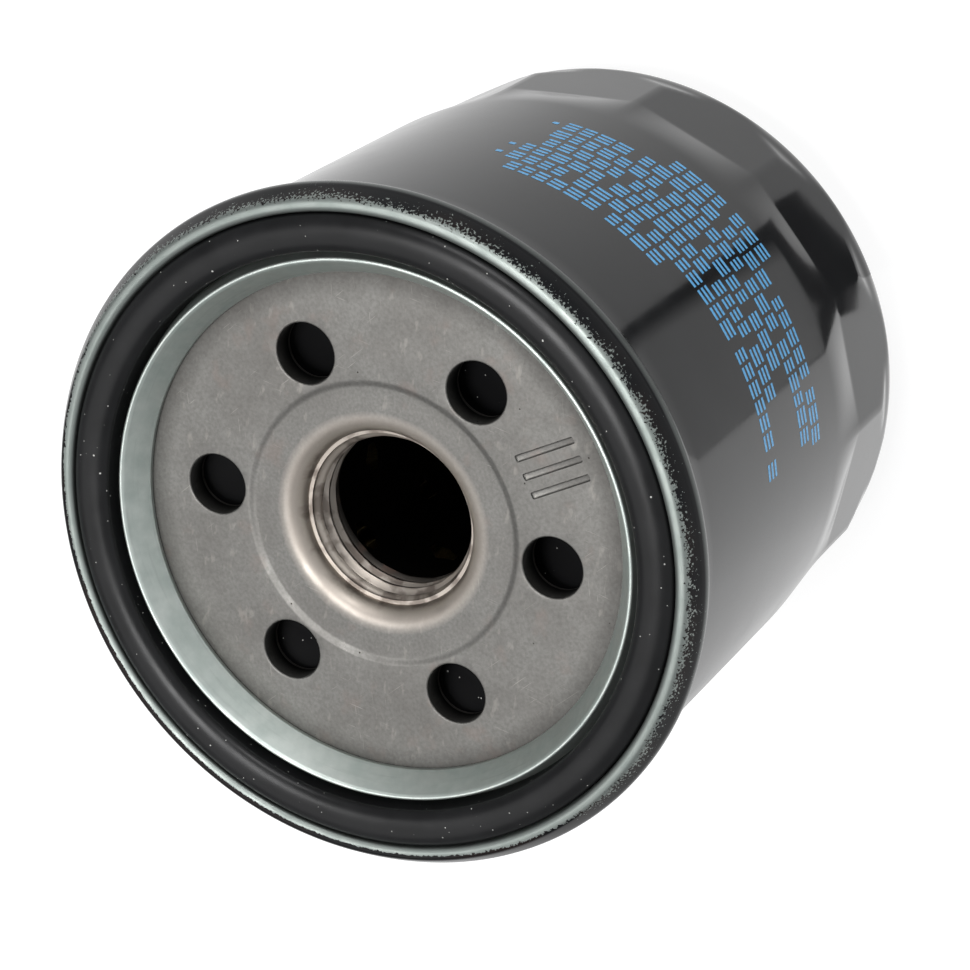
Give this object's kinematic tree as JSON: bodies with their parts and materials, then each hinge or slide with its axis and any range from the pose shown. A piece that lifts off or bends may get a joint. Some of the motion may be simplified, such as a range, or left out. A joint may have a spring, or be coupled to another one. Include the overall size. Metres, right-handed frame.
{
  "type": "spin-on oil filter",
  "caption": "Spin-on engine oil filter: fluted black can with a rolled seam, face gasket, threaded base plate with inlet holes, and a sprung pleated element inside.",
  "frame": {"origin": "on the filter's axis, at the resting face of the closed dome end", "axes": "+Z along the filter's axis, from the dome towards the threaded base plate and gasket; +X through one inlet hole and the middle of one wrench flat"},
  "size_m": [0.0758, 0.076, 0.0747],
  "materials": {
    "black_paint": "gloss baked enamel on drawn steel",
    "zinc_plate": "clear-passivated zinc plating on pressed steel",
    "bare_steel": "oiled bare steel, tumbled, with faint stains",
    "nitrile": "moulded black nitrile, lightly dusted",
    "tin_plate": "tinplate, semi-gloss",
    "spring_steel": "drawn spring wire, oiled",
    "filter_paper": "resin-treated pleated filter paper",
    "plastisol": "cured plastisol adhesive",
    "sealant": "latex can-seam compound"
  },
  "bodies": {
    "housing": {"can": "black_paint", "gasket_retainer": "zinc_plate", "seam_compound": "sealant", "gasket": "nitrile", "base_plate": "bare_steel", "element_spring": "spring_steel"},
    "element": {"plate_end_cap": "tin_plate", "plate_end_adhesive": "plastisol", "pleated_media": "filter_paper", "pleat_seam_clip": "tin_plate", "centre_tube": "tin_plate", "dome_end_adhesive": "plastisol", "dome_end_cap": "tin_plate", "spring_seat": "tin_plate", "bypass_seat": "bare_steel", "bypass_cage": "tin_plate", "bypass_spring": "spring_steel"},
    "bypass_valve": {"bypass_poppet": "tin_plate", "bypass_seal": "nitrile"},
    "drain_flap": {"anti_drain_valve": "nitrile"}
  },
  "joints": [
    {"name": "element_float", "type": "slide", "parent": "housing", "child": "element", "axis": [0, 0, -1], "range_m": [0, 0.0015], "stiffness_N_per_m": 2000, "springref_m": -0.01, "deforming": ["element_spring"]},
    {"name": "bypass_lift", "type": "slide", "parent": "element", "child": "bypass_valve", "axis": [0, 0, 1], "range_m": [0, 0.003], "stiffness_N_per_m": 800, "springref_m": -0.012, "deforming": ["bypass_spring"]},
    {"name": "drain_valve_open", "type": "slide", "parent": "housing", "child": "drain_flap", "axis": [0, 0, -1], "range_m": [0, 0.0012], "stiffness_N_per_m": 300, "springref_m": -0.003, "deforming": ["anti_drain_valve"]}
  ]
}
